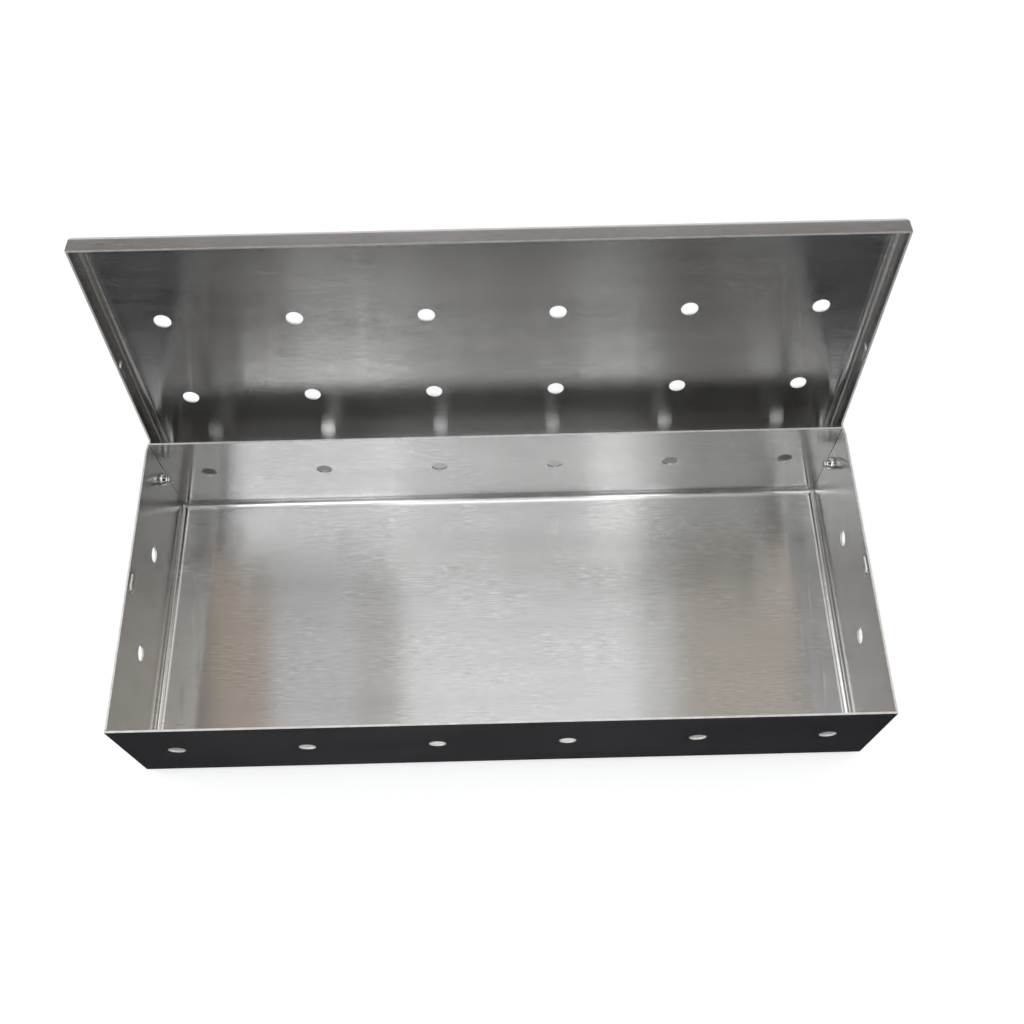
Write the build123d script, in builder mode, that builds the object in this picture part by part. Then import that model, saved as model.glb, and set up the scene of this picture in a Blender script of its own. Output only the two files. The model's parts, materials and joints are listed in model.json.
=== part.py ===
# Grill smoker box: a folded steel tray for wood chips, with a folded lid that turns on two
# blind rivets. It is modelled with the lid open, leaning back on its stop.
# The origin is the middle of the tray's underside, +X right, +Y back, +Z up, millimetres.
import os
from math import asin, atan2, cos, degrees, hypot, radians, sin, sqrt

from build123d import *

os.makedirs("parts", exist_ok=True)

# Sheet steel of the tray and the lid
sheet = 0.6
bend_inside_radius = 2.4

# Tray, outside sizes
box_length = 220.0
box_width = 93.5
box_height = 42.5
rear_rim_drop = 1.0
rim_slope_length = 3.5

# Round vent holes in the tray's walls, each row's end ones so far from the tray's corners
vent_diameter = 5.0
vent_height = 23.4
long_wall_vents = 6
long_wall_vent_margin = 15.0
end_wall_vents = 2
end_wall_vent_margin = 30.25

# Round vent holes in the lid, in two rows measured from the hinge axis and from the lid's front
lid_vents_in_row = 6
lid_vent_rows = 2
lid_vent_end_margin = 14.5
lid_vent_rear_reach = 22.8
lid_vent_front_margin = 32.3

# Hinge axis, measured from the end walls' rim and from the rear wall's outer face
hinge_below_rim = 13.8
hinge_before_rear = 6.0

# Lid, with its gaps to the tray when it is closed, and the degrees that it leans back when open
lid_open_lean = 7.8
lid_side_gap = 0.8
lid_front_gap = 1.0
lid_rear_gap = 2.0
lid_flange_depth = 7.0
rear_corner_gap = 0.2
stop_gap = 0.05
rim_gap = 0.1

# Hinge ears, the two tabs of the lid that the rivets pass through
ear_radius = 5.0
ear_root_before_hinge = 10.0
ear_root_behind_hinge = 6.5

# Snap dimples, pressed inwards in the end walls and in the lid's end flanges
dimple_length = 6.5
dimple_width = 2.8
dimple_below_rim = 3.3
dimple_draft = 30.0
wall_dimple_depth = 0.8
lid_dimple_depth = 0.6

# Blind rivets
rivet_diameter = 3.2
rivet_wall_clearance = 0.03
rivet_ear_clearance = 0.06
rivet_head_play = 0.1
rivet_head_diameter = 6.4
rivet_head_height = 1.0
rivet_head_rim = 0.35
rivet_tail_length = 2.6
rivet_tail_diameter = 4.2
rivet_tail_seat_diameter = 3.9
rivet_tail_mouth_diameter = 3.1
mandrel_diameter = 1.8
mandrel_clearance = 0.02
mandrel_neck_diameter = 2.3
mandrel_head_diameter = 2.8
mandrel_head_length = 1.5
mandrel_break_depth = 0.3

# Places and sizes of the tray and the hinge that follow from those above
bend_outside_radius = bend_inside_radius + sheet
rear_face_y = box_width / 2
end_face_x = box_length / 2
end_inner_x = end_face_x - sheet
hinge_y = rear_face_y - hinge_before_rear
hinge_z = box_height - hinge_below_rim
hinge_to_front = box_width - hinge_before_rear
dimple_height = box_height - dimple_below_rim
long_wall_vent_pitch = (box_length - 2 * long_wall_vent_margin) / (long_wall_vents - 1)
end_wall_vent_pitch = (box_width - 2 * end_wall_vent_margin) / (end_wall_vents - 1)


def bend_drop(gap):
    """How far the inside of the lid's bend stands below its plate, a gap away from the flange."""
    return bend_inside_radius - sqrt(bend_inside_radius**2 - max(bend_inside_radius - gap, 0) ** 2)


# The insides of the lid's end bends run just clear of the rear rim's outer corners as they swing
# past, and of the places where the end walls' rims start to slope down to it
rear_corner_radius = hypot(hinge_before_rear, hinge_below_rim - rear_rim_drop)
slope_start_radius = hypot(hinge_before_rear - rim_slope_length, hinge_below_rim)
swing_radius = max(rear_corner_radius, slope_start_radius) + rear_corner_gap
plate_inner_height = swing_radius + bend_drop(lid_side_gap)
plate_outer_height = plate_inner_height + sheet
flange_edge_height = plate_outer_height - lid_flange_depth
lid_front_reach = hinge_to_front + lid_front_gap
lid_rear_reach = hinge_before_rear + lid_rear_gap
lid_inner_length = box_length + 2 * lid_side_gap
lid_inner_width = lid_front_reach + lid_rear_reach
lid_middle_y = (lid_rear_reach - lid_front_reach) / 2
flange_inner_x = end_face_x + lid_side_gap
flange_outer_x = flange_inner_x + sheet

# Rows of the lid's vents
lid_vent_front_reach = lid_front_reach - lid_vent_front_margin
lid_vent_middle_reach = (lid_vent_front_reach + lid_vent_rear_reach) / 2
lid_vent_pitch = (box_length - 2 * lid_vent_end_margin) / (lid_vents_in_row - 1)
lid_vent_row_pitch = (lid_vent_front_reach - lid_vent_rear_reach) / (lid_vent_rows - 1)

# The rear flange is as deep as it must be to meet the rear wall when the lid leans back
lean = radians(lid_open_lean)
stop_overhang = (lid_rear_reach + sheet) * sin(lean)
stop_edge_height = (hinge_before_rear + stop_gap + stop_overhang) / cos(lean)

# The lid shuts until the insides of its bends come down on the front corners of the tray's rim,
# a little past level
front_rim_height = hinge_below_rim + rim_gap
front_rim_radius = hypot(hinge_to_front, front_rim_height)
front_seat_height = plate_inner_height - max(bend_drop(lid_side_gap), bend_drop(lid_front_gap))
dip = asin(front_seat_height / front_rim_radius) - atan2(front_rim_height, hinge_to_front)
lid_travel = 90 + lid_open_lean + degrees(dip)

# The lid's dimples meet those of the end walls when it is shut
dimple_rise = dimple_height - hinge_z
lid_dimple_reach = hinge_y * cos(dip) - dimple_rise * sin(dip)
lid_dimple_height = hinge_y * sin(dip) + dimple_rise * cos(dip)

# Frames: the lid's has its origin on the hinge axis, +Y to its rear flange, +Z to its plate
lid_frame = Plane(origin=(0, hinge_y, hinge_z), x_dir=(1, 0, 0), z_dir=(0, cos(lean), -sin(lean)))
lid_side = Plane(origin=lid_frame.origin, x_dir=lid_frame.y_dir, z_dir=lid_frame.x_dir)
lid_roof = Plane(
    origin=lid_frame.from_local_coords((0, lid_middle_y, plate_outer_height)),
    x_dir=lid_frame.x_dir,
    z_dir=-lid_frame.z_dir,
)
rivet_side = Plane(origin=(end_inner_x, hinge_y, hinge_z), x_dir=(1, 0, 0), z_dir=(0, -1, 0))


def rolled_block(base, length, width, depth, radius):
    """Block that stands on the base plane, with the four edges of its base rolled."""
    with BuildPart(base) as block:
        Box(length, width, depth, align=(Align.CENTER, Align.CENTER, Align.MIN))
        base_face = block.faces().sort_by(Axis(base.origin, base.z_dir))[0]
        fillet(base_face.edges(), radius)
    return block.part


# Tray: floor and four walls folded up from one blank, closed at the corners
tray_outside = rolled_block(Plane.XY, box_length, box_width, box_height, bend_outside_radius)
tray_inside = rolled_block(
    Plane.XY.offset(sheet),
    box_length - 2 * sheet,
    box_width - 2 * sheet,
    box_height,
    bend_inside_radius,
)
with BuildPart() as box_body:
    add(tray_outside)
    add(tray_inside, mode=Mode.SUBTRACT)

    # Rear rim, a little lower than the others, with the end walls' rims sloping down to it
    with BuildSketch(Plane.YZ) as rear_rim_cut:
        with BuildLine():
            Polyline(
                (rear_face_y - rim_slope_length, box_height),
                (rear_face_y - sheet, box_height - rear_rim_drop),
                (rear_face_y + sheet, box_height - rear_rim_drop),
                (rear_face_y + sheet, box_height),
                close=True,
            )
        make_face()
    extrude(amount=box_length, both=True, mode=Mode.SUBTRACT)

    # Vents through the front and rear walls
    with BuildSketch(Plane.XZ) as long_wall_holes:
        with Locations((0, vent_height)):
            with GridLocations(long_wall_vent_pitch, vent_diameter, long_wall_vents, 1):
                Circle(vent_diameter / 2)
    extrude(amount=box_width, both=True, mode=Mode.SUBTRACT)

    # Vents and rivet holes through the end walls
    with BuildSketch(Plane.YZ) as end_wall_holes:
        with Locations((0, vent_height)):
            with GridLocations(end_wall_vent_pitch, vent_diameter, end_wall_vents, 1):
                Circle(vent_diameter / 2)
        with Locations((hinge_y, hinge_z)):
            Circle(rivet_diameter / 2 + rivet_wall_clearance)
    extrude(amount=box_length, both=True, mode=Mode.SUBTRACT)

    # Snap dimple in each end wall: a bump inside over a recess outside
    for end in (-1, 1):
        wall_face = Plane(
            origin=(end * end_inner_x, 0, dimple_height), x_dir=(0, 1, 0), z_dir=(-end, 0, 0)
        )
        with BuildSketch(wall_face):
            SlotOverall(dimple_length, dimple_width)
        extrude(amount=wall_dimple_depth, taper=dimple_draft)
        with BuildSketch(wall_face.offset(-sheet)):
            SlotOverall(dimple_length - 2 * sheet, dimple_width - 2 * sheet)
        extrude(amount=wall_dimple_depth, taper=dimple_draft, mode=Mode.SUBTRACT)

# Lid: plate with front, rear and end flanges folded from one blank, and an ear at each end
lid_depth = plate_outer_height + ear_radius
lid_outside = rolled_block(
    lid_roof,
    lid_inner_length + 2 * sheet,
    lid_inner_width + 2 * sheet,
    lid_depth,
    bend_outside_radius,
)
lid_inside = rolled_block(
    lid_roof.offset(sheet), lid_inner_length, lid_inner_width, lid_depth, bend_inside_radius
)
with BuildPart() as lid:
    add(lid_outside)
    add(lid_inside, mode=Mode.SUBTRACT)

    # Side view of the lid, which sets the free edges of its flanges and the ears' outline
    with BuildSketch(lid_side) as lid_outline:
        Circle(ear_radius)
        with BuildLine():
            Line(
                (-ear_root_before_hinge, flange_edge_height),
                (ear_root_behind_hinge, flange_edge_height),
            )
        make_hull()
        with Locations((lid_rear_reach + sheet, plate_outer_height)):
            Rectangle(
                lid_inner_width + 2 * sheet,
                lid_flange_depth,
                align=(Align.MAX, Align.MAX),
            )
            Rectangle(
                sheet,
                plate_outer_height - stop_edge_height,
                align=(Align.MAX, Align.MAX),
            )
    extrude(amount=lid_inner_length, both=True, mode=Mode.INTERSECT)

    # Vents through the plate
    with BuildSketch(lid_frame.offset(plate_outer_height)) as lid_holes:
        with Locations((0, -lid_vent_middle_reach)):
            with GridLocations(lid_vent_pitch, lid_vent_row_pitch, lid_vents_in_row, lid_vent_rows):
                Circle(vent_diameter / 2)
    extrude(amount=2 * sheet, both=True, mode=Mode.SUBTRACT)

    # Rivet holes through the ears
    with BuildSketch(lid_side) as ear_holes:
        Circle(rivet_diameter / 2 + rivet_ear_clearance)
    extrude(amount=lid_inner_length, both=True, mode=Mode.SUBTRACT)

    # Snap dimple in each end flange: a bump inside over a recess outside
    for end in (-1, 1):
        flange_face = Plane(
            origin=lid_frame.from_local_coords(
                (end * flange_inner_x, -lid_dimple_reach, lid_dimple_height)
            ),
            x_dir=lid_frame.y_dir,
            z_dir=(-end, 0, 0),
        )
        with BuildSketch(flange_face):
            SlotOverall(dimple_length, dimple_width)
        extrude(amount=lid_dimple_depth, taper=dimple_draft)
        with BuildSketch(flange_face.offset(-sheet)):
            SlotOverall(dimple_length - 2 * sheet, dimple_width - 2 * sheet)
        extrude(amount=lid_dimple_depth, taper=dimple_draft, mode=Mode.SUBTRACT)

# Blind rivet of the right end: a tube with a domed head outside the ear and a bulbed tail inside
# the wall. Its half section is drawn with X along the hinge axis from the wall's inner face.
rivet_head_seat = flange_outer_x - end_inner_x + rivet_head_play
rivet_head_top = rivet_head_seat + rivet_head_height
rivet_bore = mandrel_diameter / 2 + mandrel_clearance
with BuildPart() as hinge_rivet_right:
    with BuildSketch(rivet_side) as rivet_section:
        with BuildLine() as rivet_outline:
            tail_bulge = ThreePointArc(
                (-rivet_tail_length, rivet_tail_mouth_diameter / 2),
                (-rivet_tail_length / 2, rivet_tail_diameter / 2),
                (0, rivet_tail_seat_diameter / 2),
            )
            head_dome = TangentArc(
                (rivet_head_top, rivet_bore),
                (rivet_head_seat + rivet_head_rim, rivet_head_diameter / 2),
                tangent=(0, 1),
            )
            Polyline(
                tail_bulge @ 1,
                (0, rivet_diameter / 2),
                (rivet_head_seat, rivet_diameter / 2),
                (rivet_head_seat, rivet_head_diameter / 2),
                head_dome @ 1,
            )
            Polyline(head_dome @ 0, (-rivet_tail_length, rivet_bore), tail_bulge @ 0)
        make_face()
    revolve(axis=Axis(rivet_side.origin, rivet_side.x_dir))

# Mandrel left in the rivet: its stem, broken off below the head's top, and its own head at the tail
with BuildPart() as rivet_mandrel_right:
    with BuildSketch(rivet_side) as mandrel_section:
        with BuildLine() as mandrel_outline:
            mandrel_head = ThreePointArc(
                (-rivet_tail_length - mandrel_head_length, 0),
                (-rivet_tail_length - mandrel_head_length / 2, mandrel_head_diameter / 2),
                (-rivet_tail_length, mandrel_neck_diameter / 2),
            )
            Polyline(
                mandrel_head @ 1,
                (-rivet_tail_length, mandrel_diameter / 2),
                (rivet_head_top - mandrel_break_depth, mandrel_diameter / 2),
                (rivet_head_top - mandrel_break_depth, 0),
                mandrel_head @ 0,
            )
        make_face()
    revolve(axis=Axis(rivet_side.origin, rivet_side.x_dir))

# The left end's rivet and mandrel mirror the right end's
with BuildPart() as hinge_rivet_left:
    mirror(hinge_rivet_right.part, about=Plane.YZ)
with BuildPart() as rivet_mandrel_left:
    mirror(rivet_mandrel_right.part, about=Plane.YZ)

box_body.part.label = "box_body"
lid.part.label = "lid"
hinge_rivet_left.part.label = "hinge_rivet_left"
hinge_rivet_right.part.label = "hinge_rivet_right"
rivet_mandrel_left.part.label = "rivet_mandrel_left"
rivet_mandrel_right.part.label = "rivet_mandrel_right"

export_step(box_body.part, "parts/box_body.step")
export_step(lid.part, "parts/lid.step")
export_step(hinge_rivet_left.part, "parts/hinge_rivet_left.step")
export_step(hinge_rivet_right.part, "parts/hinge_rivet_right.step")
export_step(rivet_mandrel_left.part, "parts/rivet_mandrel_left.step")
export_step(rivet_mandrel_right.part, "parts/rivet_mandrel_right.step")

print(f"hinge axis at y {hinge_y:.3f}, z {hinge_z:.3f}, lid travel {lid_travel:.2f} degrees")
print(f"plate {plate_inner_height:.3f} from the hinge axis, stop edge {stop_edge_height:.3f}")
print(f"lid outside {lid_inner_length + 2 * sheet:.2f} by {lid_inner_width + 2 * sheet:.2f}")
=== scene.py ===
"""Grill smoker box: a folded steel tray with a perforated lid that turns on two blind rivets."""
import json
import logging
from dataclasses import dataclass, field
from enum import IntEnum
from math import acos, atan2, cos, hypot, pi, radians, sin

import bmesh
import bpy
from mathutils import Matrix, Vector, noise


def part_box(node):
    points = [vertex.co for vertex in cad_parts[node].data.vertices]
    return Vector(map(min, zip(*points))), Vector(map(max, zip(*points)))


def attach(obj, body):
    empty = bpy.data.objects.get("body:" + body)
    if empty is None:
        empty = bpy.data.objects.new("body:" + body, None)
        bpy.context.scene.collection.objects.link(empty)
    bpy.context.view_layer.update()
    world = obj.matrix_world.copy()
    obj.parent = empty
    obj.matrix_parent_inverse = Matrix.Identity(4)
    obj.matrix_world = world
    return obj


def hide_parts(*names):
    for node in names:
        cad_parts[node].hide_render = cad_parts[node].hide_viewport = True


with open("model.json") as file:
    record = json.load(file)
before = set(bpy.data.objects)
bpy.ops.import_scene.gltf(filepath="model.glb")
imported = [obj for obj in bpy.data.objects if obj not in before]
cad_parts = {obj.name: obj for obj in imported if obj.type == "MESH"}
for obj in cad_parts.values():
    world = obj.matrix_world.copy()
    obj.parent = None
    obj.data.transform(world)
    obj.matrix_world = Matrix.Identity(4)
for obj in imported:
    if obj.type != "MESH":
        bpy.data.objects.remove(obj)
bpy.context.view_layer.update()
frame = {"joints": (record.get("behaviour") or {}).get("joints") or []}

log = logging.getLogger("smoker_box")

MM = 0.001
UP = Vector((0.0, 0.0, 1.0))
ALONG_X = Vector((1.0, 0.0, 0.0))
ALONG_Y = Vector((0.0, 1.0, 0.0))

# Points nearer to each other than this count as one, in metres
SAME_POINT = 1e-7

# Points nearer to a line or plane than this count as on it, in metres
ON_LINE = 1e-6

# Map of a pan's faces as they lie on its flat blank, in metres
FLAT_MAP = "flat_blank"

# Corners of a drawn circle
ROUND_SEGMENTS = 24

# Share of a pressed bump's width and of its depth, at each ring up its sides
PRESS_RINGS = ((1.0, 0.0), (0.86, 0.28), (0.62, 0.8), (0.42, 1.0))

Colour = tuple[float, float, float, float]
Tint = tuple[float, float, float]
Point = tuple[float, float, float]
Span = tuple[float, float]


class Side(IntEnum):
    """The parts of a folded pan, as its faces are marked."""

    BASE = 0
    FRONT = 1
    REAR = 2
    LEFT = 3
    RIGHT = 4

    @property
    def outward(self) -> Vector:
        """Direction that the wall faces, seen from inside the pan."""
        return {
            Side.BASE: -UP,
            Side.FRONT: -ALONG_Y,
            Side.REAR: ALONG_Y,
            Side.LEFT: -ALONG_X,
            Side.RIGHT: ALONG_X,
        }[self]

    @property
    def along(self) -> Vector:
        """Direction that runs level along the wall."""
        return ALONG_Y if self in (Side.LEFT, Side.RIGHT) else ALONG_X

    @property
    def rise(self) -> Vector:
        """Direction across the other one, up a wall or across the base."""
        return ALONG_Y if self is Side.BASE else UP


WALLS = (Side.FRONT, Side.REAR, Side.LEFT, Side.RIGHT)
END_WALLS = (Side.LEFT, Side.RIGHT)


def evenly(half: float, count: int) -> list[float]:
    """Places spread evenly from one end, -half, to the other, half."""
    return [half * (2 * step / (count - 1) - 1) for step in range(count)]


class NodeTree:
    """Short way to write a material's nodes and their links."""

    def __init__(self, name: str) -> None:
        """Starts an empty material with an output node.

        Args:
            name: The material's name.
        """
        self.material = bpy.data.materials.new(name)
        self.material.use_nodes = True
        self.tree = self.material.node_tree
        self.tree.nodes.clear()
        self.output = self.tree.nodes.new("ShaderNodeOutputMaterial")

    @classmethod
    def of(cls, tree: bpy.types.NodeTree) -> "NodeTree":
        """Writes on in a tree that exists, such as the world's."""
        made = cls.__new__(cls)
        made.tree = tree
        return made

    def add(self, kind: str, inputs: dict | None = None, **settings: object) -> bpy.types.Node:
        """Adds a node.

        Args:
            kind: The node's type, without its ShaderNode start.
            inputs: Values or output sockets for its inputs, by name or number.
            **settings: The node's own settings.

        Returns:
            The new node.
        """
        node = self.tree.nodes.new("ShaderNode" + kind)
        for name, value in settings.items():
            setattr(node, name, value)
        for key, value in (inputs or {}).items():
            if isinstance(value, bpy.types.NodeSocket):
                self.tree.links.new(value, node.inputs[key])
            else:
                node.inputs[key].default_value = value
        return node

    def maths(self, operation: str, *values: object) -> bpy.types.NodeSocket:
        """Adds a Math node and returns its result.

        Args:
            operation: The operation's name in Blender.
            *values: Its numbers or sockets in order.

        Returns:
            The result's socket.
        """
        return self.add("Math", dict(enumerate(values)), operation=operation).outputs[0]

    def remap(
        self, value: object, low: float, high: float, to_low: float, to_high: float
    ) -> bpy.types.NodeSocket:
        """Maps a value's range to another one, clamped.

        Args:
            value: The socket to map.
            low: Start of its range.
            high: End of its range.
            to_low: What the start becomes.
            to_high: What the end becomes.

        Returns:
            The result's socket.
        """
        inputs = {"Value": value, "From Min": low, "From Max": high, "To Min": to_low, "To Max": to_high}
        return self.add("MapRange", inputs).outputs["Result"]

    def blend(self, factor: object, first: object, second: object) -> bpy.types.NodeSocket:
        """Mixes two colours.

        Args:
            factor: How much of the second shows.
            first: Colour or socket.
            second: Colour or socket.

        Returns:
            The mixed colour's socket.
        """
        inputs = {"Factor": factor, "A": first, "B": second}
        node = self.tree.nodes.new("ShaderNodeMix")
        node.data_type = "RGBA"
        sockets = {socket.identifier: socket for socket in node.inputs}
        for name, value in inputs.items():
            socket = sockets["Factor_Float" if name == "Factor" else name + "_Color"]
            if isinstance(value, bpy.types.NodeSocket):
                self.tree.links.new(value, socket)
            else:
                socket.default_value = value
        return next(s for s in node.outputs if s.identifier == "Result_Color")

    def finish(self, shader: bpy.types.Node) -> bpy.types.Material:
        """Links the shader to the output.

        Args:
            shader: The last shader node.

        Returns:
            The finished material.
        """
        self.tree.links.new(shader.outputs[0], self.output.inputs["Surface"])
        return self.material


@dataclass(frozen=True)
class BrushedSteel:
    """Cold-rolled stainless sheet, brushed along the blank's length before it was folded."""

    name: str = "brushed_stainless"
    bright: Colour = (0.645, 0.64, 0.63, 1.0)
    dull: Colour = (0.6, 0.595, 0.585, 1.0)
    furrow: Colour = (0.42, 0.42, 0.42, 1.0)
    furrow_share: float = 0.1
    dark_scratch: Colour = (0.36, 0.36, 0.36, 1.0)
    dark_share: float = 0.3
    light_scratch: Colour = (0.88, 0.88, 0.87, 1.0)
    light_share: float = 0.36
    roughness: float = 0.16
    roughness_spread: float = 0.012
    anisotropy: float = 1.0
    anisotropy_turn: float = 0.25
    brush_tilt: float = 0.2

    def material(self) -> bpy.types.Material:
        """Builds the finish on the flat blank's own map, so that the grain follows the folds.

        Returns:
            The material.
        """
        nodes = NodeTree(self.name)
        flat = nodes.add("UVMap", uv_map=FLAT_MAP).outputs["UV"]

        def streaks(along: float, across: float, detail: float) -> bpy.types.NodeSocket:
            """Noise stretched along the grain, its two numbers features per metre."""
            stretched = nodes.add("Mapping", {"Vector": flat, "Scale": (along, across, 1.0)})
            inputs = {"Vector": stretched.outputs[0], "Scale": 1.0, "Detail": detail, "Roughness": 0.6}
            return nodes.add("TexNoise", inputs, noise_dimensions="2D").outputs["Fac"]

        hairlines = streaks(70.0, 3200.0, 3.0)
        brush_marks = streaks(25.0, 900.0, 2.0)
        passes = streaks(6.0, 90.0, 1.0)
        clouds = streaks(28.0, 34.0, 3.0)
        dashes = streaks(230.0, 1900.0, 1.0)
        rubbed = nodes.remap(streaks(35.0, 45.0, 1.0), 0.42, 0.6, 0.2, 1.0)

        grain = nodes.maths("ADD", hairlines, nodes.maths("MULTIPLY", brush_marks, 0.6))
        tone = nodes.maths(
            "ADD", nodes.maths("MULTIPLY", passes, 0.45), nodes.maths("MULTIPLY", clouds, 0.55)
        )
        worn = nodes.remap(tone, 0.38, 0.62, 0.0, 1.0)
        fine = nodes.remap(grain, 0.6, 1.0, 0.0, 1.0)
        mottled = nodes.blend(worn, self.dull, self.bright)
        brushed = nodes.blend(nodes.maths("MULTIPLY", fine, self.furrow_share), mottled, self.furrow)
        lights = nodes.remap(dashes, 0.62, 0.72, 0.0, self.light_share)
        darks = nodes.remap(dashes, 0.28, 0.38, self.dark_share, 0.0)
        scuffed = nodes.blend(nodes.maths("MULTIPLY", darks, rubbed), brushed, self.dark_scratch)
        colour = nodes.blend(nodes.maths("MULTIPLY", lights, rubbed), scuffed, self.light_scratch)
        smooth = self.roughness - self.roughness_spread
        rough = self.roughness + self.roughness_spread
        spread = nodes.maths(
            "ADD", nodes.remap(tone, 0.3, 0.7, smooth, rough),
            nodes.remap(grain, 0.6, 1.0, -self.roughness_spread, self.roughness_spread),
        )
        grain_line = nodes.add("Tangent", direction_type="UV_MAP", uv_map=FLAT_MAP).outputs[0]
        shader = nodes.add(
            "BsdfPrincipled",
            {
                "Base Color": colour,
                "Metallic": 1.0,
                "Roughness": spread,
                "Normal": self._tipped_normal(nodes, grain_line, streaks(90.0, 14000.0, 1.0)),
                "Anisotropic": self.anisotropy,
                "Anisotropic Rotation": self.anisotropy_turn,
                "Tangent": grain_line,
            },
        )
        return nodes.finish(shader)

    def _tipped_normal(
        self, nodes: NodeTree, grain_line: bpy.types.NodeSocket, furrows: bpy.types.NodeSocket
    ) -> bpy.types.NodeSocket:
        """Tips the normal across the grain, as the brush's fine furrows do.

        Args:
            nodes: The material's nodes.
            grain_line: Direction of the grain.
            furrows: Noise from 0 to 1 that says which way it tips.

        Returns:
            The tipped normal's socket.
        """
        facing = nodes.add("NewGeometry").outputs["Normal"]
        across = nodes.add("VectorMath", {0: facing, 1: grain_line}, operation="CROSS_PRODUCT")
        lean = nodes.maths("MULTIPLY", nodes.maths("SUBTRACT", furrows, 0.5), self.brush_tilt)
        leaning = nodes.add("VectorMath", {0: across.outputs[0], "Scale": lean}, operation="SCALE")
        tipped = nodes.add("VectorMath", {0: facing, 1: leaning.outputs[0]}, operation="ADD")
        return nodes.add("VectorMath", {0: tipped.outputs[0]}, operation="NORMALIZE").outputs[0]


@dataclass(frozen=True)
class PlainSteel:
    """Steel without a brushed grain: the sheet's cut edges, the rivets and their mandrels."""

    name: str
    bright: Colour
    dull: Colour
    roughness: float
    metallic: float = 1.0
    pit_scale: float = 2500.0
    pit_depth: float = 0.02 * MM
    pit_strength: float = 0.3
    patch_scale: float = 400.0
    smoother_by: float = 0.06
    rougher_by: float = 0.08

    def material(self) -> bpy.types.Material:
        """Builds the finish on Object coordinates.

        Returns:
            The material.
        """
        nodes = NodeTree(self.name)
        place = nodes.add("TexCoord").outputs["Object"]
        pits = nodes.add(
            "TexNoise", {"Vector": place, "Scale": self.pit_scale, "Detail": 3.0, "Roughness": 0.6}
        ).outputs["Fac"]
        patches = nodes.add(
            "TexNoise", {"Vector": place, "Scale": self.patch_scale, "Detail": 2.0}
        ).outputs["Fac"]
        colour = nodes.blend(nodes.remap(patches, 0.4, 0.6, 0.0, 1.0), self.dull, self.bright)
        smooth = self.roughness - self.smoother_by
        spread = nodes.remap(pits, 0.35, 0.65, smooth, self.roughness + self.rougher_by)
        relief = nodes.add(
            "Bump", {"Height": pits, "Strength": self.pit_strength, "Distance": self.pit_depth}
        )
        shader = nodes.add(
            "BsdfPrincipled",
            {
                "Base Color": colour,
                "Metallic": self.metallic,
                "Roughness": spread,
                "Normal": relief.outputs["Normal"],
            },
        )
        return nodes.finish(shader)


# The cut edges' finish is partly their real matt sheared steel and partly painted highlight: its colours
# are brighter than steel can be and a quarter of it is matt, so the rims show bright lines under any
# lamp.
CUT_EDGE_AND_PAINTED_HIGHLIGHT = PlainSteel("cut_edge_and_painted_highlight", (0.9, 0.9, 0.89, 1.0), (0.78, 0.77, 0.76, 1.0), 0.42, 0.75)
RIVET_SHELL = PlainSteel("rivet_stainless", (0.62, 0.62, 0.61, 1.0), (0.5, 0.5, 0.49, 1.0), 0.12)
MANDREL_WIRE = PlainSteel("mandrel_stainless", (0.68, 0.67, 0.66, 1.0), (0.58, 0.57, 0.56, 1.0), 0.1)


@dataclass(frozen=True)
class Sheet:
    """The steel that both pans are folded from."""

    thickness: float = 0.6 * MM
    inside_radius: float = 2.4 * MM
    corner_slit: float = 0.18 * MM
    edge_round: float = 0.09 * MM
    edge_segments: int = 2
    edge_angle: float = radians(50.0)
    flats_weight: int = 100
    bend_steps: int = 8

    @property
    def outside_radius(self) -> float:
        """Radius of the bends' outer surface."""
        return self.inside_radius + self.thickness


@dataclass(frozen=True)
class Hole:
    """Round hole punched in one side of a pan, its centre on the outer surface."""

    side: Side
    centre: Vector
    radius: float
    margin: float
    segments: int = ROUND_SEGMENTS


@dataclass(frozen=True)
class Dimple:
    """Oblong bump pressed into the pan's inside."""

    side: Side
    centre: Vector
    length: float = 6.5 * MM
    width: float = 2.8 * MM
    depth: float = 0.8 * MM
    margin: float = 0.9 * MM
    segments: int = ROUND_SEGMENTS


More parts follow.
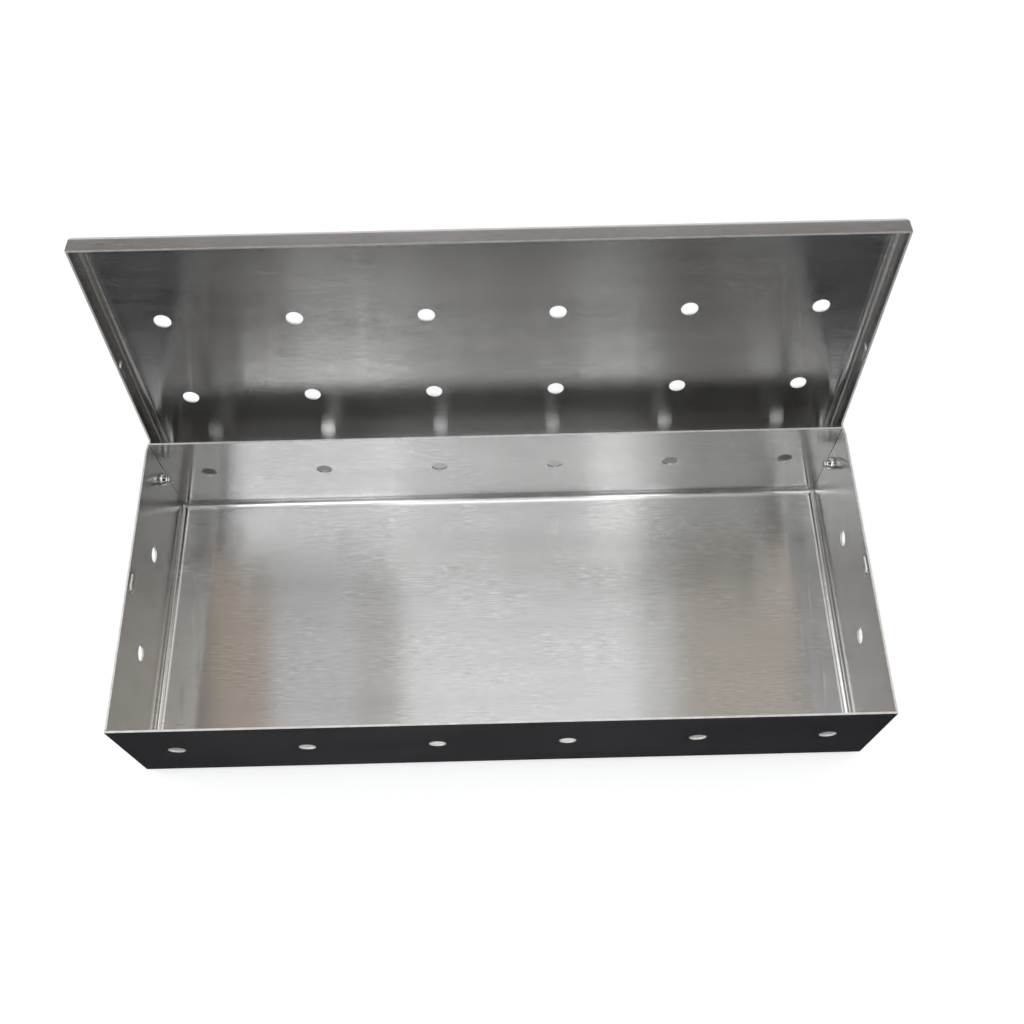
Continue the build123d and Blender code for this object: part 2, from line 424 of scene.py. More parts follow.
@dataclass
class FoldedPan:
    """Open pan folded from one blank. Its base lies on z = 0 with the walls rising from it."""

    length: float
    width: float
    wall_heights: dict[Side, float]
    sheet: Sheet = field(default_factory=Sheet)
    ripple: float = 0.02 * MM
    ripple_scale: float = 16.0
    ripple_seed: float = 3.7
    bm: bmesh.types.BMesh = field(default_factory=bmesh.new)

    def __post_init__(self) -> None:
        """Lays out the blank and folds its four walls up."""
        self.side_layer = self.bm.faces.layers.int.new("side")
        bmesh.ops.create_grid(self.bm, x_segments=1, y_segments=1, size=0.5)
        bmesh.ops.scale(self.bm, verts=self.bm.verts[:], vec=(2 * self.flat_x, 2 * self.flat_y, 1.0))
        for side in WALLS:
            self._fold_up(side)
        self._mitre_corners()

    @property
    def flat_x(self) -> float:
        """Half the length of the flat base between the bends."""
        return self.length / 2 - self.sheet.outside_radius

    @property
    def flat_y(self) -> float:
        """Half the width of the flat base between the bends."""
        return self.width / 2 - self.sheet.outside_radius

    def _bend_line(self, side: Side) -> float:
        """Distance of a side's bend line from the middle of the base."""
        return self.flat_x if side in END_WALLS else self.flat_y

    def _half_run(self, side: Side) -> float:
        """Half the length of a wall between the bends at its ends."""
        return self.flat_y if side in END_WALLS else self.flat_x

    def _fold_up(self, side: Side) -> None:
        """Rolls a wall's bend out of the base's edge, and draws the straight wall out of the bend."""
        radius = self.sheet.outside_radius
        line = self._bend_line(side)
        edge = next(
            e for e in self.bm.edges
            if all(
                abs(v.co.dot(side.outward) - line) < ON_LINE and abs(v.co.z) < ON_LINE
                for v in e.verts
            )
        )
        made_before = set(self.bm.faces)
        rolled = bmesh.ops.spin(
            self.bm,
            geom=[*edge.verts, edge],
            cent=side.outward * line + UP * radius,
            axis=(-UP).cross(side.outward),
            dvec=(0.0, 0.0, 0.0),
            angle=pi / 2,
            steps=self.sheet.bend_steps,
            use_merge=False,
            use_duplicate=False,
        )
        last = [e for e in rolled["geom_last"] if isinstance(e, bmesh.types.BMEdge)]
        drawn = bmesh.ops.extrude_edge_only(self.bm, edges=last)
        tops = [v for v in drawn["geom"] if isinstance(v, bmesh.types.BMVert)]
        bmesh.ops.translate(self.bm, verts=tops, vec=UP * (self.wall_heights[side] - radius))
        for face in set(self.bm.faces) - made_before:
            face[self.side_layer] = side

    def _mitre_corners(self) -> None:
        """Runs the walls on to the corners. The end walls stop short of the long ones' insides."""
        radius = self.sheet.outside_radius
        short = 1.0 - (self.sheet.thickness + self.sheet.corner_slit) / radius
        for side in WALLS:
            half = self._half_run(side)
            reach = short if side in END_WALLS else 1.0
            line = self._bend_line(side)
            for vert in self._verts(side):
                offset = vert.co.dot(side.outward) - line
                if offset > ON_LINE:
                    where = vert.co.dot(side.along)
                    new = (half + offset * reach) * (1 if where > 0 else -1)
                    vert.co += side.along * (new - where)

    def _faces(self, side: Side) -> list[bmesh.types.BMFace]:
        """Faces of one side, its bend among them."""
        return [f for f in self.bm.faces if f[self.side_layer] == side]

    def _verts(self, side: Side) -> set[bmesh.types.BMVert]:
        """Corners of one side's faces."""
        return {v for f in self._faces(side) for v in f.verts}

    def slice(self, side: Side, point: Vector, normal: Vector, trim: bool = False) -> None:
        """Cuts a line across one side.

        Args:
            side: The side to cut.
            point: A point on the cutting plane.
            normal: The plane's normal.
            trim: Whether what lies beyond the plane is cut away.
        """
        faces = self._faces(side)
        edges = {e for f in faces for e in f.edges}
        bmesh.ops.bisect_plane(
            self.bm,
            geom=[*self._verts(side), *edges, *faces],
            dist=SAME_POINT,
            plane_co=point,
            plane_no=normal,
            clear_outer=trim,
        )

    def divide(self, long_strips: int, cross_strips: int, heights: tuple[float, ...] = ()) -> None:
        """Divides the base and the walls, so that the sheet can ripple.

        Args:
            long_strips: Strips along the pan's length.
            cross_strips: Strips along its width.
            heights: Where the walls are cut level as well.
        """
        self._slice_evenly(Side.BASE, ALONG_X, self.flat_x, long_strips)
        self._slice_evenly(Side.BASE, ALONG_Y, self.flat_y, cross_strips)
        for side in WALLS:
            count = cross_strips if side in END_WALLS else long_strips
            self._slice_evenly(side, side.along, self._half_run(side), count)
            for height in heights:
                self.slice(side, UP * height, UP)

    def _slice_evenly(self, side: Side, direction: Vector, half: float, count: int) -> None:
        """Cuts a side into strips of one width.

        Args:
            side: The side to cut.
            direction: Across the strips.
            half: Half the length that is divided.
            count: How many strips.
        """
        for step in range(1, count):
            self.slice(side, direction * (half * (2 * step / count - 1)), direction)

    def _open_cell(
        self, side: Side, centre: Vector, half_along: float, half_rise: float
    ) -> list[bmesh.types.BMEdge]:
        """Takes a rectangle out of a side and returns the edges round it."""
        for direction, half in ((side.along, half_along), (side.rise, half_rise)):
            for end in (-1, 1):
                self.slice(side, centre + direction * (half * end), direction)
        cell = [
            f for f in self._faces(side)
            if abs((f.calc_center_median() - centre).dot(side.along)) < half_along
            and abs((f.calc_center_median() - centre).dot(side.rise)) < half_rise
        ]
        rim = [
            e for e in {e for f in cell for e in f.edges}
            if sum(f in cell for f in e.link_faces) == 1
        ]
        bmesh.ops.delete(self.bm, geom=cell, context="FACES")
        return rim

    def draw_ring(
        self, side: Side, centre: Vector, radius: float, stretch: float, segments: int
    ) -> list[bmesh.types.BMEdge]:
        """Draws a round or oblong ring that faces a side.

        Args:
            side: The side that it faces.
            centre: Its centre.
            radius: Its radius, or that of its round ends.
            stretch: How far each half moves out along the side.
            segments: How many edges it has.

        Returns:
            The ring's edges.
        """
        turn = Matrix((side.along, side.rise, side.along.cross(side.rise))).transposed().to_4x4()
        turn = turn @ Matrix.Rotation(pi / segments, 4, "Z")
        ring = bmesh.ops.create_circle(
            self.bm, cap_ends=False, radius=radius, segments=segments,
            matrix=Matrix.Translation(centre) @ turn,
        )
        for vert in ring["verts"]:
            end = 1 if (vert.co - centre).dot(side.along) > 0 else -1
            vert.co += side.along * (end * stretch)
        return list({e for v in ring["verts"] for e in v.link_edges})

    def join(
        self, side: Side, first: list[bmesh.types.BMEdge], second: list[bmesh.types.BMEdge]
    ) -> None:
        """Joins two rings with faces of a side.

        Rings in one plane are wound at random, so the second stands off while they are joined.

        Args:
            side: The side that the new faces belong to.
            first: The outer ring's edges.
            second: The inner ring's edges.
        """
        lift = side.outward * self.sheet.outside_radius
        ring = list({v for e in second for v in e.verts})
        bmesh.ops.translate(self.bm, verts=ring, vec=lift)
        made = bmesh.ops.bridge_loops(self.bm, edges=[*first, *second])
        bmesh.ops.translate(self.bm, verts=ring, vec=-lift)
        for face in made["faces"]:
            face[self.side_layer] = side

    def punch(self, hole: Hole) -> None:
        """Punches a round hole.

        Args:
            hole: The hole.
        """
        half = hole.radius + hole.margin
        rim = self._open_cell(hole.side, hole.centre, half, half)
        ring = self.draw_ring(hole.side, hole.centre, hole.radius, 0.0, hole.segments)
        self.join(hole.side, rim, ring)

    def press(self, dimple: Dimple) -> None:
        """Presses an oblong bump inwards, with stepped sides and a flat top.

        Args:
            dimple: The bump.
        """
        side = dimple.side
        half_width = dimple.width / 2
        stretch = dimple.length / 2 - half_width
        rim = self._open_cell(
            side, dimple.centre, dimple.length / 2 + dimple.margin, half_width + dimple.margin
        )
        for shrink, rise in PRESS_RINGS:
            middle = dimple.centre - side.outward * (dimple.depth * rise)
            ring = self.draw_ring(side, middle, half_width * shrink, stretch, dimple.segments)
            self.join(side, rim, ring)
            rim = ring
        top = bmesh.ops.contextual_create(self.bm, geom=rim)
        for face in top["faces"]:
            face[self.side_layer] = side

    def _flat_place(self, point: Vector, side: Side) -> Vector:
        """Where a point of the folded pan lies on its flat blank."""
        if side is Side.BASE:
            return Vector((point.x, point.y))
        radius = self.sheet.outside_radius
        line = self._bend_line(side)
        if point.z < radius:
            run = radius * atan2(max(point.dot(side.outward) - line, 0.0), radius - point.z)
        else:
            run = radius * pi / 2 + point.z - radius
        return (side.outward * (line + run) + side.along * point.dot(side.along)).xy

    def _map_blank(self) -> None:
        """Gives the pan its flat blank's lengths as a texture map."""
        layer = self.bm.loops.layers.uv.new(FLAT_MAP)
        for face in self.bm.faces:
            side = Side(face[self.side_layer])
            for loop in face.loops:
                loop[layer].uv = self._flat_place(loop.vert.co, side)

    def _ripple(self) -> None:
        """Gives the flat sheet the faint waves that rolling and folding leave in it."""
        self.bm.normal_update()
        moves = {}
        for vert in self.bm.verts:
            wave = noise.noise(vert.co * self.ripple_scale + Vector((0.0, 0.0, self.ripple_seed)))
            moves[vert] = vert.normal * (wave * self.ripple)
        for vert, move in moves.items():
            vert.co += move

    def build(self, name: str, place: Matrix, finishes: list[bpy.types.Material]) -> bpy.types.Object:
        """Turns the folded blank into sheet of its real thickness, in its place.

        Args:
            name: The piece's name.
            place: From the pan's own axes to the object's.
            finishes: The materials of its faces and of its cut edges.

        Returns:
            The finished piece.
        """
        self._map_blank()
        bmesh.ops.recalc_face_normals(self.bm, faces=self.bm.faces[:])
        base = next(f for f in self.bm.faces if f[self.side_layer] == Side.BASE)
        if base.normal.z > 0:
            bmesh.ops.reverse_faces(self.bm, faces=self.bm.faces[:])
        self._ripple()
        rough = new_piece(name + "_blank", self.bm, finishes)
        rough.data.shade_smooth()
        wall = rough.modifiers.new("thickness", "SOLIDIFY")
        wall.thickness = self.sheet.thickness
        wall.offset = -1.0
        wall.use_even_offset = True
        wall.material_offset_rim = 1
        soften = rough.modifiers.new("edges", "BEVEL")
        soften.width = self.sheet.edge_round
        soften.segments = self.sheet.edge_segments
        soften.limit_method = "ANGLE"
        soften.angle_limit = self.sheet.edge_angle
        weigh = rough.modifiers.new("flats", "WEIGHTED_NORMAL")
        weigh.mode = "FACE_AREA"
        weigh.weight = self.sheet.flats_weight
        ready = rough.evaluated_get(bpy.context.evaluated_depsgraph_get())
        mesh = bpy.data.meshes.new_from_object(ready)
        bpy.data.objects.remove(rough)
        mesh.name = name
        mesh.transform(place)
        piece = bpy.data.objects.new(name, mesh)
        bpy.context.scene.collection.objects.link(piece)
        return piece


def new_piece(name: str, bm: bmesh.types.BMesh, finishes: list[bpy.types.Material]) -> bpy.types.Object:
    """Makes a piece of a mesh being edited, at the origin.

    Args:
        name: The piece's name.
        bm: The mesh being edited, which is freed.
        finishes: Its materials.

    Returns:
        The new piece.
    """
    mesh = bpy.data.meshes.new(name)
    bm.to_mesh(mesh)
    bm.free()
    for material in finishes:
        mesh.materials.append(material)
    piece = bpy.data.objects.new(name, mesh)
    bpy.context.scene.collection.objects.link(piece)
    return piece


@dataclass
class ChipTray:
    """The tray for the wood chips, with vents, rivet holes and snap dimples in its walls."""

    steel: bpy.types.Material
    edge: bpy.types.Material
    hinge: Vector
    rear_rim_drop: float = 1.0 * MM
    rim_slope_length: float = 3.5 * MM
    vent_radius: float = 2.5 * MM
    vent_height: float = 23.4 * MM
    vent_margin: float = 2.2 * MM
    long_wall_vents: int = 6
    long_wall_vent_margin: float = 15.0 * MM
    end_wall_vents: int = 2
    end_wall_vent_margin: float = 30.25 * MM
    rivet_hole_radius: float = 1.63 * MM
    rivet_hole_margin: float = 1.6 * MM
    dimple_below_rim: float = 3.3 * MM
    long_strips: int = 20
    cross_strips: int = 9
    strip_heights: tuple[float, float, float] = (10.0 * MM, 17.0 * MM, 31.0 * MM)

    def build(self) -> bpy.types.Object:
        """Builds the tray where the frame has it.

        Returns:
            The tray.
        """
        low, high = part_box("box_body")
        heights = dict.fromkeys(WALLS, high.z)
        heights[Side.REAR] = high.z - self.rear_rim_drop
        pan = FoldedPan(high.x - low.x, high.y - low.y, heights)
        self._slope_rims(pan, high)
        pan.divide(self.long_strips, self.cross_strips, self.strip_heights)
        self._vents(pan, high)
        for side in END_WALLS:
            face = side.outward * high.x
            rivet_place = face + ALONG_Y * self.hinge.y + UP * self.hinge.z
            pan.punch(Hole(side, rivet_place, self.rivet_hole_radius, self.rivet_hole_margin))
            pan.press(Dimple(side, face + UP * (high.z - self.dimple_below_rim)))
        tray = pan.build("chip_tray", Matrix.Identity(4), [self.steel, self.edge])
        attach(tray, "box")
        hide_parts("box_body")
        return tray

    def _slope_rims(self, pan: FoldedPan, high: Vector) -> None:
        """Cuts the end walls' rims down to the rear rim."""
        run = self.rim_slope_length - pan.sheet.thickness
        start = Vector((0.0, high.y - self.rim_slope_length, high.z))
        for side in END_WALLS:
            pan.slice(side, start, Vector((0.0, self.rear_rim_drop, run)), trim=True)

    def _vents(self, pan: FoldedPan, high: Vector) -> None:
        """Punches the vents of all four walls."""
        for side in WALLS:
            if side in END_WALLS:
                face = high.x
                places = evenly(high.y - self.end_wall_vent_margin, self.end_wall_vents)
            else:
                face = high.y
                places = evenly(high.x - self.long_wall_vent_margin, self.long_wall_vents)
            for place in places:
                centre = side.outward * face + side.along * place + UP * self.vent_height
                pan.punch(Hole(side, centre, self.vent_radius, self.vent_margin))


@dataclass
class PerforatedLid:
    """The lid: a plate with four flanges and two ears, folded like a shallow pan."""

    steel: bpy.types.Material
    edge: bpy.types.Material
    hinge: Vector
    lean: float = radians(7.8)
    length: float = 222.8 * MM
    width: float = 97.7 * MM
    plate_height: float = 15.548 * MM
    rear_reach: float = 8.6 * MM
    stop_height: float = 7.285 * MM
    flange_depth: float = 7.0 * MM
    ear_radius: float = 5.0 * MM
    ear_front: float = 10.0 * MM
    ear_rear: float = -6.5 * MM
    ear_hole_radius: float = 1.66 * MM
    vent_radius: float = 2.5 * MM
    vent_margin: float = 2.6 * MM
    vents_in_row: int = 6
    vent_span: float = 95.5 * MM
    vent_rows: tuple[float, float] = (22.8 * MM, 56.2 * MM)
    dimple_reach: float = 40.70 * MM
    dimple_height: float = 10.705 * MM
    dimple_depth: float = 0.6 * MM
    dimple_margin: float = 0.5 * MM
    long_strips: int = 20
    cross_strips: int = 8
    ear_steps: int = 20
    ripple_seed: float = 8.1

    @property
    def middle(self) -> float:
        """How far the plate's middle is from the hinge."""
        return self.width / 2 - self.rear_reach

    def build(self) -> bpy.types.Object:
        """Builds the lid where the frame has it, leaning back.

        Returns:
            The lid.
        """
        heights = dict.fromkeys(WALLS, self.flange_depth)
        heights[Side.FRONT] = self.plate_height - self.stop_height
        pan = FoldedPan(self.length, self.width, heights, ripple_seed=self.ripple_seed)
        pan.divide(self.long_strips, self.cross_strips)
        self._vents(pan)
        for side in END_WALLS:
            self._ear(pan, side)
            centre = side.outward * (self.length / 2) + ALONG_Y * (self.dimple_reach - self.middle)
            centre += UP * (self.plate_height - self.dimple_height)
            pan.press(Dimple(side, centre, depth=self.dimple_depth, margin=self.dimple_margin))
        lid = pan.build("perforated_lid", self._place(), [self.steel, self.edge])
        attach(lid, "lid")
        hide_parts("lid")
        return lid

    def _place(self) -> Matrix:
        """From the lid's own axes, plate down and rear flange in front, to the leaning lid."""
        up_the_lid = Vector((0.0, sin(self.lean), cos(self.lean)))
        to_the_back = Vector((0.0, cos(self.lean), -sin(self.lean)))
        turn = Matrix((ALONG_X, up_the_lid, -to_the_back)).transposed().to_4x4()
        origin = self.hinge + up_the_lid * self.middle + to_the_back * self.plate_height
        return Matrix.Translation(origin) @ turn

    def _vents(self, pan: FoldedPan) -> None:
        """Punches the two rows of vents in the plate."""
        for reach in self.vent_rows:
            for x in evenly(self.vent_span, self.vents_in_row):
                centre = Vector((x, reach - self.middle, 0.0))
                pan.punch(Hole(Side.BASE, centre, self.vent_radius, self.vent_margin))

    def _ear(self, pan: FoldedPan, side: Side) -> None:
        """Grows an ear with its rivet hole out of an end flange's free edge."""
        face = side.outward * (self.length / 2)
        centre = face - ALONG_Y * self.middle + UP * self.plate_height
        roots = [centre.y + reach for reach in (self.ear_rear, self.ear_front)]
        for y in roots:
            pan.slice(side, ALONG_Y * y, ALONG_Y)
        free = [
            e for e in pan.bm.edges
            if all(
                abs(v.co.dot(side.outward) - self.length / 2) < ON_LINE
                and abs(v.co.z - self.flange_depth) < ON_LINE
                and roots[0] - ON_LINE < v.co.y < roots[1] + ON_LINE
                for v in e.verts
            )
        ]
        ends = sorted({v for e in free for v in e.verts}, key=lambda v: v.co.y)
        angles = []
        for vert, hand in ((ends[0], -1), (ends[-1], 1)):
            to_root = vert.co - centre
            away = hypot(to_root.y, to_root.z)
            angles.append(atan2(to_root.z, to_root.y) + hand * acos(self.ear_radius / away))
        start = centre + Vector((0.0, cos(angles[0]), sin(angles[0]))) * self.ear_radius
        sweep = (angles[0] - angles[1]) % (2 * pi)
        first = pan.bm.verts.new(start)
        arc = bmesh.ops.spin(
            pan.bm, geom=[first], cent=centre, axis=(-1.0, 0.0, 0.0), dvec=(0.0, 0.0, 0.0),
            angle=sweep, steps=self.ear_steps, use_merge=False, use_duplicate=False,
        )
        last = next(v for v in arc["geom_last"] if isinstance(v, bmesh.types.BMVert))
        round_edges = self._chain(first, last)
        sides = [pan.bm.edges.new((ends[0], first)), pan.bm.edges.new((last, ends[-1]))]
        ring = pan.draw_ring(side, centre, self.ear_hole_radius, 0.0, ROUND_SEGMENTS)
        pan.join(side, [*free, *round_edges, *sides], ring)

    def _chain(self, first: bmesh.types.BMVert, last: bmesh.types.BMVert) -> list[bmesh.types.BMEdge]:
        """Edges of the arc that runs from its first point to its last one."""
        edges = []
        vert = first
        while vert is not last:
            edge = next(e for e in vert.link_edges if e not in edges)
            edges.append(edge)
            vert = edge.other_vert(vert)
        return edges


@dataclass
class BlindRivet:
    """Blind rivet of one end, with the mandrel that stays in it."""

    end: int
    label: str
    hinge: Vector
    shell: bpy.types.Material
    wire: bpy.types.Material
    wall_inside: float = 109.4 * MM
    radius: float = 1.6 * MM
    head_seat: float = 2.1 * MM
    head_radius: float = 3.2 * MM
    head_rim: float = 0.35 * MM
    head_height: float = 1.0 * MM
    head_edge: float = 0.06 * MM
    bore: float = 0.92 * MM
    tail_length: float = 2.6 * MM
    tail_bulge: float = 0.33 * MM
    tail_seat_radius: float = 1.95 * MM
    tail_mouth_radius: float = 1.55 * MM
    mandrel_radius: float = 0.9 * MM
    mandrel_head_radius: float = 1.4 * MM
    mandrel_head_length: float = 1.5 * MM
    mandrel_flare: float = 0.25 * MM
    break_depth: float = 0.3 * MM
    break_edge: float = 0.1 * MM
    break_hollow: float = 0.05 * MM
    arc_steps: int = 8
    steps: int = 48
    sharp_angle: float = radians(40.0)

    def _spun(self, name: str, outline: list[tuple[float, float]], closed: bool) -> bmesh.types.BMesh:
        """Spins a half section about the hinge axis, along which it is drawn from the wall's inside."""
        bm = bmesh.new()
        origin = Vector((self.wall_inside, self.hinge.y, self.hinge.z))
        verts = [bm.verts.new(origin + Vector((run, 0.0, radius))) for run, radius in outline]
        pairs = list(zip(verts, verts[1:]))
        if closed:
            pairs.append((verts[-1], verts[0]))
        edges = [bm.edges.new(pair) for pair in pairs]
        bmesh.ops.spin(
            bm, geom=[*verts, *edges], cent=origin, axis=(1.0, 0.0, 0.0), dvec=(0.0, 0.0, 0.0),
            angle=2 * pi, steps=self.steps, use_merge=True, use_duplicate=False,
        )
        bmesh.ops.remove_doubles(bm, verts=bm.verts[:], dist=SAME_POINT)
        bmesh.ops.scale(bm, verts=bm.verts[:], vec=(self.end, 1.0, 1.0))
        bmesh.ops.recalc_face_normals(bm, faces=bm.faces[:])
        log.info("spun %s from %d points", name, len(outline))
        return bm

    def _shell_outline(self) -> list[tuple[float, float]]:
        """Half section of the rivet's tube, head and bulbed tail."""
        tail = []
        for step in range(self.arc_steps + 1):
            part = step / self.arc_steps
            straight = self.tail_mouth_radius + (self.tail_seat_radius - self.tail_mouth_radius) * part
            bulge = self.tail_bulge * sin(pi * part)
            tail.append((-self.tail_length * (1 - part), straight + bulge))
        neck = [(0.0, self.radius), (self.head_seat, self.radius)]
        head = [
            (self.head_seat, self.head_radius - self.head_edge),
            (self.head_seat + self.head_edge, self.head_radius),
        ]
        rim = self.head_seat + self.head_rim
        dome = self.head_height - self.head_rim
        for step in range(self.arc_steps + 1):
            turn = step / self.arc_steps * pi / 2
            radius = self.bore + (self.head_radius - self.bore) * cos(turn)
            head.append((rim + dome * sin(turn), radius))
        mouth = [(-self.tail_length, self.bore)]
        return [*tail, *neck, *head, *mouth]

    def _mandrel_outline(self) -> list[tuple[float, float]]:
        """Half section of the mandrel: its round head at the tail, and its broken stem."""
        points = []
        neck = self.mandrel_radius + self.mandrel_flare
        sweep = pi - acos(neck / self.mandrel_head_radius)
        middle = -self.tail_length - self.mandrel_head_length / 2
        for step in range(self.arc_steps + 1):
            turn = step / self.arc_steps * sweep
            run = middle - cos(turn) * self.mandrel_head_length / 2
            points.append((run, sin(turn) * self.mandrel_head_radius))
        points[-1] = (-self.tail_length, neck)
        points.append((-self.tail_length, self.mandrel_radius))
        end = self.head_seat + self.head_height - self.break_depth
        points.append((end - self.break_edge, self.mandrel_radius))
        points.append((end, self.mandrel_radius - self.break_edge))
        points.append((end - self.break_hollow, 0.0))
        return points

    def build(self) -> list[bpy.types.Object]:
        """Builds the rivet and its mandrel where the frame has them.

        Returns:
            The two pieces.
        """
        made = []
        parts = (
            ("blind_rivet_", "hinge_rivet_", self._shell_outline(), True, self.shell, "rivet_steel"),
            ("mandrel_", "rivet_mandrel_", self._mandrel_outline(), False, self.wire, "mandrel_steel"),
        )
        for name, node, outline, closed, finish, slot in parts:
            bm = self._spun(name + self.label, outline, closed)
            piece = new_piece(name + self.label, bm, [finish])
            piece.data.shade_smooth()
            piece.data.set_sharp_from_angle(angle=self.sharp_angle)
            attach(piece, "box")
            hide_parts(node + self.label)
            made.append(piece)
        return made


@dataclass(frozen=True)
class SoftBox:
    """Soft light round the object. A tint of 1 shines as white."""

    name: str
    place: Point
    aim: Point
    width: float
    height: float
    tint: Tint

    def hang(self) -> None:
        """Hangs the lamp, facing its aim."""
        lamp = bpy.data.lights.new(self.name, "AREA")
        lamp.shape = "RECTANGLE"
        lamp.size = self.width
        lamp.size_y = self.height
        lamp.color = self.tint
        lamp.energy = pi * self.width * self.height
        holder = bpy.data.objects.new(self.name, lamp)
        holder.location = self.place
        facing = Vector(self.aim) - holder.location
        holder.rotation_euler = facing.to_track_quat("-Z", "Y").to_euler()
        holder.visible_camera = False
        bpy.context.scene.collection.objects.link(holder)


@dataclass(frozen=True)
class LampRow:
    """Row of soft boxes side by side and level with each other, each aimed at the box."""

    behind: float
    above: float
    height: float

    def box(self, name: str, left: float, right: float, tint: Tint) -> SoftBox:
        """Gives one soft box of the row.

        Args:
            name: The lamp's name.
            left: Where it starts.
            right: Where it ends.
            tint: Its colour and brightness.

        Returns:
            The soft box.
        """
        middle = (left + right) / 2
        place = (middle, self.behind, self.above)
        return SoftBox(name, place, (middle, 0.0, 0.0), right - left, self.height, tint)


# Beyond the far edge of every card
NEVER = (8.0, 9.0)


@dataclass(frozen=True)
class Flag:
    """Level card that only shows in the steel, for the dark table and ceiling of the photo."""

    name: str
    low: Span
    high: Span
    height: float
    tint: Colour
    turns_white: Span = NEVER

    def stand(self) -> None:
        """Puts the card up."""
        bm = bmesh.new()
        bmesh.ops.create_grid(bm, x_segments=1, y_segments=1, size=0.5)
        size = Vector(self.high) - Vector(self.low)
        middle = (Vector(self.high) + Vector(self.low)) / 2
        bmesh.ops.scale(bm, verts=bm.verts[:], vec=(size.x, size.y, 1.0))
        bmesh.ops.translate(bm, verts=bm.verts[:], vec=(middle.x, middle.y, self.height))
        nodes = NodeTree(self.name)
        behind = nodes.add("SeparateXYZ", {0: nodes.add("TexCoord").outputs["Object"]}).outputs["Y"]
        white = nodes.remap(behind, *self.turns_white, 0.0, 1.0)
        colour = nodes.blend(white, self.tint, (1.0, 1.0, 1.0, 1.0))
        card = new_piece(self.name, bm, [nodes.finish(nodes.add("Emission", {"Color": colour}))])
        card.visible_camera = False
        card.visible_diffuse = False
        card.visible_transmission = False
        card.visible_shadow = False


# The near part of the tray's floor mirrors the rear row, its middle mirrors the top row by way of
# the lid, its far part and the rear wall mirror the front rows, and the lid the low front one
REAR_ROW = LampRow(0.45, 1.113, 0.84)
FRONT_ROW = LampRow(-0.636, 1.018, 0.84)
HIGH_FRONT = LampRow(-0.391, 1.135, 0.25)
LOW_FRONT = LampRow(-0.818, 0.878, 0.3)
TOP_ROW = LampRow(-0.105, 1.195, 0.337)
WINDOW = LampRow(-1.3, 0.9, 1.2)


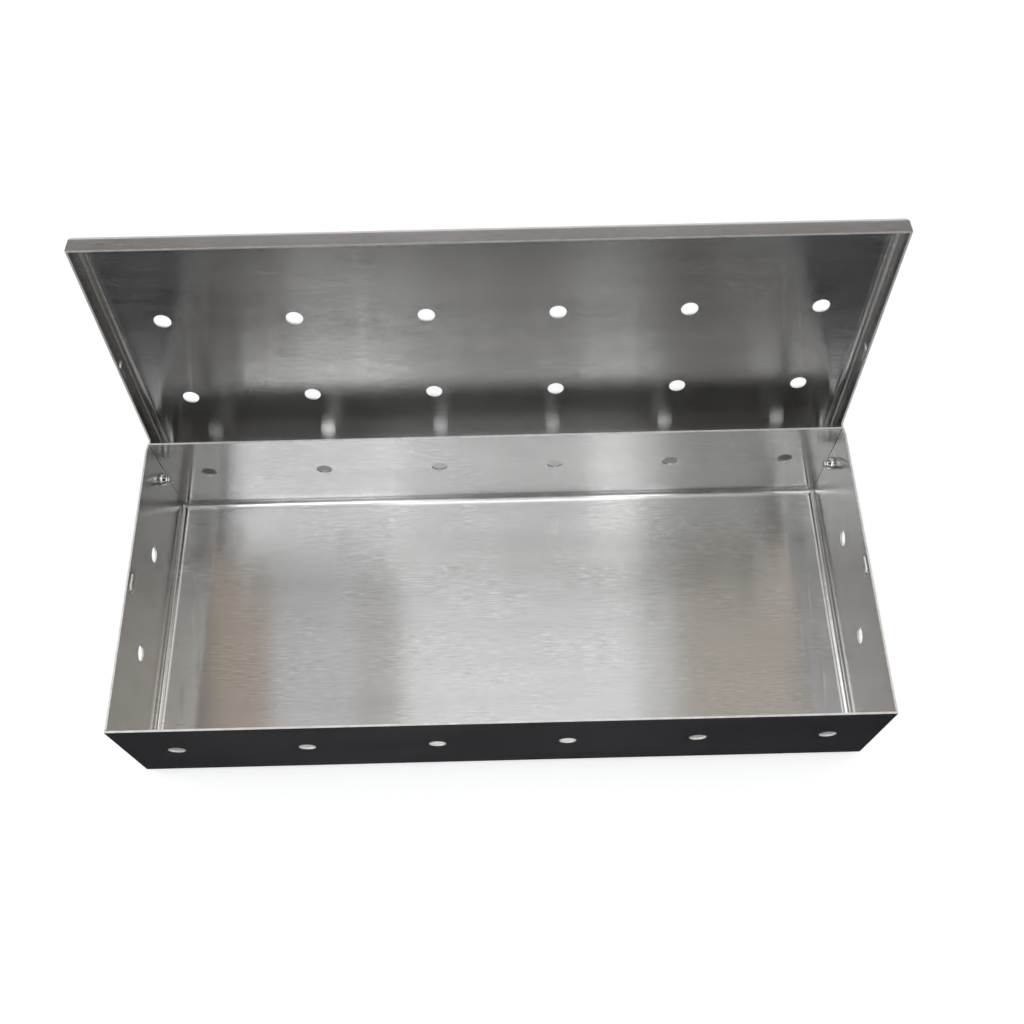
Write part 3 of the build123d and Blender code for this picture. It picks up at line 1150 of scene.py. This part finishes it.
@dataclass
class Studio:
    """Pale floor, soft boxes, flags and the camera."""

    floor_size: float = 12.0
    floor_drop: float = 0.1 * MM
    floor_colour: Colour = (0.82, 0.82, 0.82, 1.0)
    glow_distance: Span = (0.5, 3.0)
    glow: Span = (0.5, 0.85)
    ambient: float = 0.3
    boxes: tuple[SoftBox, ...] = (
        REAR_ROW.box("rear_warm", -0.42, -0.333, (0.22, 0.16, 0.1)),
        REAR_ROW.box("rear_left", -0.333, -0.213, (0.43, 0.44, 0.46)),
        REAR_ROW.box("rear_inner_left", -0.213, -0.151, (0.3, 0.3, 0.29)),
        REAR_ROW.box("rear_middle", -0.151, 0.18, (0.68, 0.7, 0.72)),
        REAR_ROW.box("rear_inner_right", 0.18, 0.235, (0.5, 0.52, 0.53)),
        REAR_ROW.box("rear_right", 0.235, 0.41, (0.3, 0.27, 0.22)),
        REAR_ROW.box("rear_right_end", 0.43, 0.455, (0.9, 0.95, 1.0)),
        FRONT_ROW.box("front_end", -0.40, -0.345, (1.2, 1.25, 1.3)),
        FRONT_ROW.box("front_left", -0.345, -0.22, (0.72, 0.75, 0.78)),
        FRONT_ROW.box("front_inner_left", -0.22, -0.16, (0.8, 0.84, 0.88)),
        FRONT_ROW.box("front_middle_left", -0.16, -0.09, (0.3, 0.31, 0.33)),
        FRONT_ROW.box("front_middle", -0.09, 0.13, (0.33, 0.34, 0.36)),
        FRONT_ROW.box("front_right", 0.13, 0.245, (0.68, 0.7, 0.7)),
        FRONT_ROW.box("front_far_right", 0.245, 0.39, (0.65, 0.67, 0.65)),
        LOW_FRONT.box("low_left", -0.405, -0.14, (1.5, 1.53, 1.55)),
        LOW_FRONT.box("low_middle", -0.14, 0.15, (0.9, 0.92, 0.94)),
        HIGH_FRONT.box("high_middle", -0.16, 0.19, (1.6, 1.63, 1.65)),
        TOP_ROW.box("top_end", -0.42, -0.35, (0.5, 0.5, 0.5)),
        TOP_ROW.box("top_left", -0.35, -0.172, (0.9, 0.92, 0.94)),
        TOP_ROW.box("top_middle", -0.172, 0.195, (2.0, 2.03, 2.05)),
        TOP_ROW.box("top_right", 0.195, 0.26, (0.8, 0.8, 0.8)),
        TOP_ROW.box("top_far_right", 0.26, 0.42, (0.45, 0.45, 0.43)),
        WINDOW.box("window_end", -0.5, -0.43, (0.6, 0.6, 0.6)),
        WINDOW.box("window_left", -0.43, -0.25, (1.45, 1.48, 1.5)),
        WINDOW.box("window_inner_left", -0.25, -0.175, (1.5, 1.53, 1.55)),
        WINDOW.box("window_middle", -0.175, -0.095, (0.8, 0.82, 0.85)),
        WINDOW.box("window_centre", -0.095, 0.155, (0.28, 0.28, 0.28)),
        WINDOW.box("window_right", 0.155, 0.296, (1.45, 1.5, 1.55)),
        SoftBox("left_high", (-1.0, 0.35, 0.9), (0.0, 0.0, 0.0), 0.6, 1.0, (1.5, 1.52, 1.55)),
        SoftBox("right_high", (1.0, 0.35, 0.9), (0.0, 0.0, 0.0), 0.6, 1.1, (0.85, 0.8, 0.7)),
    )
    flags: tuple[Flag, ...] = (
        Flag(
            "dark_table", (-0.3, -0.4), (0.3, 0.04), -0.05 * MM, (0.025, 0.025, 0.03, 1.0),
            turns_white=(-0.025, 0.04),
        ),
        Flag("ceiling_back", (-1.9, 0.0), (2.6, 4.0), 1.6, (0.27, 0.255, 0.25, 1.0)),
        Flag("ceiling_front", (-1.9, -4.0), (2.6, 0.0), 1.6, (0.04, 0.03, 0.03, 1.0)),
    )
    camera_place: Point = (0.00326, -0.1349, 0.34281)
    camera_turn: tuple[float, float, float] = (radians(27.11), radians(0.46), radians(-1.32))
    lens: float = 39.07
    sensor: float = 36.0
    nearest: float = 0.01

    def build(self) -> None:
        """Sets the floor, the world, the lamps, the flags and the camera."""
        self._floor()
        self._world()
        for box in self.boxes:
            box.hang()
        for flag in self.flags:
            flag.stand()
        self._camera()

    def _floor(self) -> None:
        """Lays the pale floor, white to the camera and in reflections, with the object's shadow."""
        bm = bmesh.new()
        bmesh.ops.create_grid(bm, x_segments=1, y_segments=1, size=self.floor_size / 2)
        bmesh.ops.translate(bm, verts=bm.verts[:], vec=-UP * self.floor_drop)
        nodes = NodeTree("pale_floor")
        seen = self._seen_rays(nodes)
        matt = nodes.add("BsdfDiffuse", {"Color": self.floor_colour})
        away = nodes.add("VectorMath", {0: nodes.add("TexCoord").outputs["Object"]}, operation="LENGTH")
        white = nodes.remap(away.outputs["Value"], *self.glow_distance, *self.glow)
        glow = nodes.add("Emission", {"Strength": nodes.maths("MULTIPLY", seen, white)})
        both = nodes.add("AddShader", {0: matt.outputs[0], 1: glow.outputs[0]})
        new_piece("pale_floor", bm, [nodes.finish(both)])

    def _seen_rays(self, nodes: NodeTree) -> bpy.types.NodeSocket:
        """1 for what the camera sees straight, in metal or through glass, otherwise 0."""
        paths = nodes.add("LightPath").outputs
        seen = nodes.maths("MAXIMUM", paths["Is Camera Ray"], paths["Is Glossy Ray"])
        return nodes.maths("MAXIMUM", seen, paths["Is Transmission Ray"])

    def _world(self) -> None:
        """Surrounds the object with white that lights it only a little."""
        world = bpy.data.worlds.new("pale_room")
        world.use_nodes = True
        nodes = NodeTree.of(world.node_tree)
        back = world.node_tree.nodes["Background"]
        back.inputs["Color"].default_value = (1.0, 1.0, 1.0, 1.0)
        strength = nodes.remap(self._seen_rays(nodes), 0.0, 1.0, self.ambient, 1.0)
        world.node_tree.links.new(strength, back.inputs["Strength"])
        bpy.context.scene.world = world

    def _camera(self) -> None:
        """Sets the camera where the photographer held it."""
        lens = bpy.data.cameras.new("camera")
        lens.lens = self.lens
        lens.sensor_width = self.sensor
        lens.clip_start = self.nearest
        holder = bpy.data.objects.new("camera", lens)
        holder.location = self.camera_place
        holder.rotation_euler = self.camera_turn
        bpy.context.scene.collection.objects.link(holder)
        bpy.context.scene.camera = holder


def main() -> None:
    """Builds the box, its lid, its rivets and the studio."""
    logging.basicConfig(level=logging.INFO, format="%(name)s: %(message)s")
    bpy.context.scene.view_settings.view_transform = "Standard"
    hinge = Vector(frame["joints"][0]["pos_m"])
    steel = BrushedSteel().material()
    edge = CUT_EDGE_AND_PAINTED_HIGHLIGHT.material()
    shell = RIVET_SHELL.material()
    wire = MANDREL_WIRE.material()
    pieces = [ChipTray(steel, edge, hinge).build(), PerforatedLid(steel, edge, hinge).build()]
    for end, label in ((-1, "left"), (1, "right")):
        pieces.extend(BlindRivet(end, label, hinge, shell, wire).build())
    Studio().build()
    for piece in pieces:
        log.info("%s: %d faces", piece.name, len(piece.data.polygons))


if __name__ == "__main__":
    main()
